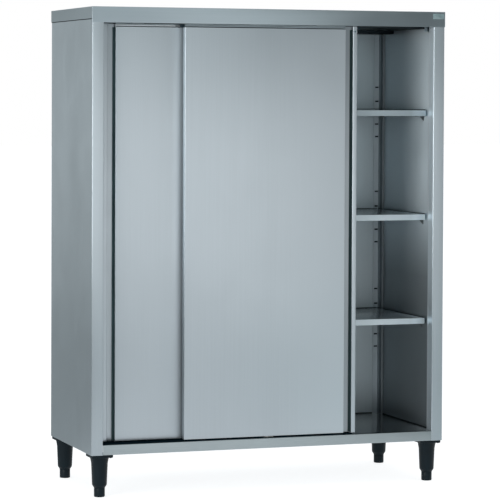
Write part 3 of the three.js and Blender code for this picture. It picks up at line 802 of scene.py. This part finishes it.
def rail_strip(door, levels):
    """A strip on the face of a door's hanger rail, between two levels."""
    low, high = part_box(f"{door}_hanger_rail")
    face = low.y / MM - SURFACE_GAP
    return (
        (low.x / MM + RAIL_END_GAP, face - RAIL_STRIP_DEPTH, levels[0]),
        (high.x / MM - RAIL_END_GAP, face, levels[1]),
    )


for door in DOORS:
    bar_piece(
        f"{door}_rail_shade_lines", [rail_strip(door, levels) for levels in RAIL_SHADE_LINES],
        black_rubber, door, STRIP_RADIUS, axis=0,
    )
    bar_piece(
        f"{door}_rail_cover", [rail_strip(door, RAIL_COVER)],
        shaded_rail_aluminium, door, STRIP_RADIUS, axis=0,
    )


# Dark strips on the floor under the doors and along the floor's and the shelves' edges: painted shade
# of the gaps

FLOOR_TOP = 195.5
UNDERDOOR_YS = (-285.5, -203.0)
UNDERDOOR_END_GAP = 1.0
UNDERDOOR_RIGHT = 336.0
UNDERDOOR_HEIGHT = 0.7
FLOOR_SHADE_HEIGHT = 3.4
FLOOR_SHADE_WIDTH = 1.2
FLOOR_SHADE_GAP = 0.2
FLOOR_SHADE_FRONT = -238.0
FLOOR_SHADE_END_GAP = 1.0
SHELF_SHADE_HEIGHT = 2.2
SHELF_SHADE_WIDTH = 1.2
SHELF_SHADE_GAP = 0.4
SHELF_SHADE_END_GAP = 3.0
SHELF_SHADE_FRONT_GAP = 6.0

low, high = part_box("bottom_panel")
floor_surface = FLOOR_TOP + SURFACE_GAP
bar_piece(
    "underdoor_strip",
    [((low.x / MM + UNDERDOOR_END_GAP, UNDERDOOR_YS[0], floor_surface),
      (UNDERDOOR_RIGHT, UNDERDOOR_YS[1], floor_surface + UNDERDOOR_HEIGHT))],
    matt_shade, "cabinet", STRIP_RADIUS, axis=0,
)

left_post, right_post = (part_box(f"{side}_rear_post") for side in SIDES)
shade_back = left_post[1].y / MM - FLOOR_SHADE_GAP
shade_side = high.x / MM - FLOOR_SHADE_GAP
shade_top = floor_surface + FLOOR_SHADE_HEIGHT
bar_piece(
    "floor_rear_shade",
    [((left_post[1].x / MM, shade_back - FLOOR_SHADE_WIDTH, floor_surface),
      (right_post[0].x / MM, shade_back, shade_top))],
    black_rubber, "cabinet", STRIP_RADIUS, axis=0,
)
for side, sign in SIDE_SIGNS:
    xs = sorted((sign * shade_side, sign * (shade_side - FLOOR_SHADE_WIDTH)))
    bar_piece(
        f"floor_{side}_joint",
        [((xs[0], FLOOR_SHADE_FRONT, floor_surface),
          (xs[1], left_post[0].y / MM - FLOOR_SHADE_END_GAP, shade_top))],
        black_rubber, "cabinet", STRIP_RADIUS, axis=1,
    )

# Dark strips along the shelves' back and side edges: painted shade of the gaps
for shelf in SHELVES:
    low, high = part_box(f"{shelf}_shelf")
    bottom = high.z / MM + SURFACE_GAP
    top = bottom + SHELF_SHADE_HEIGHT
    left, right = low.x / MM, high.x / MM
    front, back = low.y / MM, high.y / MM
    bar_piece(
        f"{shelf}_shelf_rear_joint",
        [((left + SHELF_SHADE_END_GAP, back - SHELF_SHADE_GAP - SHELF_SHADE_WIDTH, bottom),
          (right - SHELF_SHADE_END_GAP, back - SHELF_SHADE_GAP, top))],
        black_rubber, f"shelf_{shelf}", STRIP_RADIUS, axis=0,
    )
    near_left, near_right = left + SHELF_SHADE_GAP, right - SHELF_SHADE_GAP - SHELF_SHADE_WIDTH
    for side, edge in (("left", near_left), ("right", near_right)):
        bar_piece(
            f"{shelf}_shelf_{side}_joint",
            [((edge, front + SHELF_SHADE_FRONT_GAP, bottom),
              (edge + SHELF_SHADE_WIDTH, back - SHELF_SHADE_END_GAP, top))],
            black_rubber, f"shelf_{shelf}", STRIP_RADIUS, axis=1,
        )


# Rivets along the back panel's sides

RIVET_HALF = 3.2
RIVET_RADIUS = 3.1
RIVET_STEPS = 5
RIVET_LAYERS = ((0.0, -0.3), (0.0, 0.3), (0.5, 0.7), (1.6, 0.9))
RIVET_INSET = 9.0
RIVET_SPAN = (200.0, 1690.0)
RIVETS = 9

low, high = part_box("back_panel")
mesh = bmesh.new()
for x in (low.x / MM + RIVET_INSET, high.x / MM - RIVET_INSET):
    for i in range(RIVETS):
        z = RIVET_SPAN[0] + (RIVET_SPAN[1] - RIVET_SPAN[0]) * i / (RIVETS - 1)
        centre = Vector((x, high.y / MM, z))
        rounded_plate(
            mesh, RIVET_HALF, RIVET_HALF, RIVET_RADIUS, RIVET_STEPS, RIVET_LAYERS,
            lambda a, b, height: (centre + Vector((a, height, b))) * MM,
        )
finished("back_panel_rivets", mesh, zinc, "cabinet")


# Rolled hem on the back edge of each stile's return, in the lit rail colour as a painted highlight

HEM_XS = (653.4, 657.0)
HEM_YS = (-243.6, -240.3)
HEM_ZS = (196.5, 1720.0)
HEM_RADIUS = 1.6

for side, sign in SIDE_SIGNS:
    xs = sorted(sign * x for x in HEM_XS)
    bar_piece(
        f"{side}_stile_hem", [list(zip(xs, HEM_YS, HEM_ZS))],
        lit_rail_aluminium, "cabinet", HEM_RADIUS, axis=2,
    )


# Camera, fitted to points of the photo

YAW, PITCH, ROLL = math.radians(19.3876), math.radians(1.6169), math.radians(0.2526)
FOCAL_PX = 2498.22
IMAGE_PX = 500
PRINCIPAL_Y = 165.64
SENSOR = 36.0
CAMERA_PLACE = Vector((-3174.9, -9058.9, 1479.1)) * MM

forward = Vector((
    math.sin(YAW) * math.cos(PITCH), math.cos(YAW) * math.cos(PITCH), -math.sin(PITCH)
))
level_right = Vector((math.cos(YAW), -math.sin(YAW), 0.0))
level_up = level_right.cross(forward)
right = math.cos(ROLL) * level_right + math.sin(ROLL) * level_up
up = math.cos(ROLL) * level_up - math.sin(ROLL) * level_right
camera_data = bpy.data.cameras.new("camera")
camera_data.sensor_width = SENSOR
camera_data.lens = FOCAL_PX * SENSOR / IMAGE_PX
camera_data.shift_y = (PRINCIPAL_Y - IMAGE_PX / 2) / IMAGE_PX
camera_data.clip_start = 0.1
camera_data.clip_end = 200.0
camera = bpy.data.objects.new("camera", camera_data)
rotation = Matrix((right, up, -forward)).transposed().to_4x4()
camera.matrix_world = Matrix.Translation(CAMERA_PLACE) @ rotation
scene.collection.objects.link(camera)
scene.camera = camera


# Studio floor and background, in metres

FLOOR_HALF = 60.0
FLOOR_MOTTLE = (0.8, 0.8, 0.8)
FLOOR_MOTTLE_TONE = 0.985
FLOOR_GLOW = 0.8
FILL_COLOUR = (0.93, 0.97, 1.0, 1.0)
FILL_STRENGTH = 0.55


def seen_directly(tree):
    """1 for camera, glossy and transmission rays."""
    path = add_node(tree, "ShaderNodeLightPath").outputs
    camera_or_glossy = maths(tree, "MAXIMUM", path["Is Camera Ray"], path["Is Glossy Ray"])
    return maths(tree, "MAXIMUM", camera_or_glossy, path["Is Transmission Ray"])


def upright(start, end, top, bottom=0.0):
    """The corners of an upright rectangle between two points."""
    return [(*start, bottom), (*end, bottom), (*end, top), (*start, top)]


def lying(low, high, height=0.002):
    """The corners of a level rectangle, by default just over the floor."""
    return [(*low, height), (high[0], low[1], height), (*high, height), (low[0], high[1], height)]


def stage_plane(name, corners, material):
    """A flat piece of the stage, which isn't part of the object."""
    data = bpy.data.meshes.new(name)
    data.from_pydata(corners, [], [tuple(range(len(corners)))])
    data.materials.append(material)
    plane = bpy.data.objects.new(name, data)
    scene.collection.objects.link(plane)
    return plane


material, tree = new_tree("studio_floor")
paper = linear(*STUDIO_FLOOR)
mottle = remap(tree, noise(tree, FLOOR_MOTTLE, detail=3.0), 0.0, 1.0)
tone = blend(tree, mottle, paper, scaled(paper, FLOOR_MOTTLE_TONE))
diffuse = add_node(tree, "ShaderNodeBsdfDiffuse", {"Color": tone})
glow = add_node(tree, "ShaderNodeEmission", {"Color": WHITE, "Strength": FLOOR_GLOW})
nothing = add_node(tree, "ShaderNodeBsdfTransparent", {"Color": BLACK})
shaders = {0: seen_directly(tree), 1: nothing.outputs[0], 2: glow.outputs[0]}
lit = add_node(tree, "ShaderNodeMixShader", shaders)
both = add_node(tree, "ShaderNodeAddShader", {0: diffuse.outputs[0], 1: lit.outputs[0]})
add_node(tree, "ShaderNodeOutputMaterial", {"Surface": both.outputs[0]})
stage_plane(
    "studio_floor", lying((-FLOOR_HALF, -FLOOR_HALF), (FLOOR_HALF, FLOOR_HALF), 0.0), material
)

world = bpy.data.worlds.new("studio")
scene.world = world
world.use_nodes = True
tree = world.node_tree
tree.nodes.clear()
fill = add_node(tree, "ShaderNodeBackground", {"Color": FILL_COLOUR, "Strength": FILL_STRENGTH})
white = add_node(tree, "ShaderNodeBackground", {"Color": WHITE, "Strength": 1.0})
shaders = {0: seen_directly(tree), 1: fill.outputs[0], 2: white.outputs[0]}
mixed = add_node(tree, "ShaderNodeMixShader", shaders)
add_node(tree, "ShaderNodeOutputWorld", {"Surface": mixed.outputs[0]})


# Reflection cards, in metres

CARD_TINT = (0.92, 1.0, 1.01, 1.0)
FRONT_Y = -6.6
FRONT_LEFT, FRONT_SEAM, FRONT_RIGHT = -8.0, 2.1, 7.0
LOW_CARD_TOP, HIGH_CARD_TOP = 1.75, 8.0
CEILING_HEIGHT = 6.5


def reflection_card(name, corners, tone, shading=None):
    """A grey card that only reflections see, as the duller ends of a studio.

    Where shading is given as (axis, start, end, far_tone), the tone changes along the axis."""
    material, tree = new_tree(name)
    axis, start, end, far_tone = shading or ("Y", 0.0, 1.0, tone)
    strength = remap(tree, part_along(tree, own_place(tree), axis), tone, far_tone, start, end)
    glow = add_node(tree, "ShaderNodeEmission", {"Color": CARD_TINT, "Strength": strength})
    add_node(tree, "ShaderNodeOutputMaterial", {"Surface": glow.outputs[0]})
    card = stage_plane(name, corners, material)
    card.visible_camera = False
    card.visible_diffuse = False
    card.visible_shadow = False


reflection_card(
    "front_right_card", upright((FRONT_SEAM, FRONT_Y), (FRONT_RIGHT, FRONT_Y), LOW_CARD_TOP),
    tone=1.25, shading=("X", 2.6, 3.7, 0.06),
)
reflection_card(
    "front_right_top_card",
    upright((FRONT_SEAM, FRONT_Y), (FRONT_RIGHT, FRONT_Y), HIGH_CARD_TOP, LOW_CARD_TOP),
    tone=0.45, shading=("X", FRONT_SEAM, 3.5, 0.03),
)
reflection_card(
    "front_right_cloth", lying((0.9, FRONT_Y), (FRONT_RIGHT, -0.8)),
    tone=1.0, shading=("X", 0.9, 3.0, 0.85),
)
reflection_card(
    "rear_left_card", upright((-7.0, 1.5), (-1.4, 9.0), 6.0),
    tone=0.39, shading=("Z", 0.3, 0.9, 0.42),
)
reflection_card("rear_left_cloth", lying((-7.0, 0.4), (-0.72, 9.0)), tone=0.35)
reflection_card("front_left_cloth", lying((-12.0, -9.0), (-1.5, -1.5)), tone=0.1)
reflection_card(
    "front_top_card",
    upright((FRONT_LEFT, FRONT_Y), (FRONT_SEAM, FRONT_Y), HIGH_CARD_TOP, LOW_CARD_TOP),
    tone=0.65, shading=("Z", LOW_CARD_TOP, 2.6, 0.84),
)
reflection_card("ceiling_card", lying((-5.0, -8.0), (6.0, 0.0), CEILING_HEIGHT), tone=0.6)


# Lamps, in metres and watts

WARM_WHITE = (1.0, 0.99, 0.97)
WARMER_WHITE = (1.0, 0.95, 0.92)


def softbox(name, place, target, size, power, colour=WARM_WHITE):
    """A softbox with a width and height, which faces a target."""
    data = bpy.data.lights.new(name, "AREA")
    data.shape = "RECTANGLE"
    data.size, data.size_y = size
    data.energy = power
    data.color = colour
    lamp = bpy.data.objects.new(name, data)
    lamp.location = place
    lamp.rotation_euler = (Vector(target) - Vector(place)).to_track_quat("-Z", "Y").to_euler()
    scene.collection.objects.link(lamp)


softbox(
    "front_softbox", place=(1.4, -4.6, 0.85), target=(0.2, 0.0, 0.85), size=(1.8, 1.3), power=6.9,
    colour=WARMER_WHITE,
)
softbox(
    "left_softbox", place=(-3.97, -3.0, 1.33), target=(0.0, 0.0, 1.33), size=(2.4, 1.6), power=68.0
)
softbox(
    "overhead_softbox", place=(1.4, -2.0, 5.0), target=(0.0, 0.0, 0.5), size=(3.5, 3.0), power=18.0
)

scene.view_settings.view_transform = "Standard"
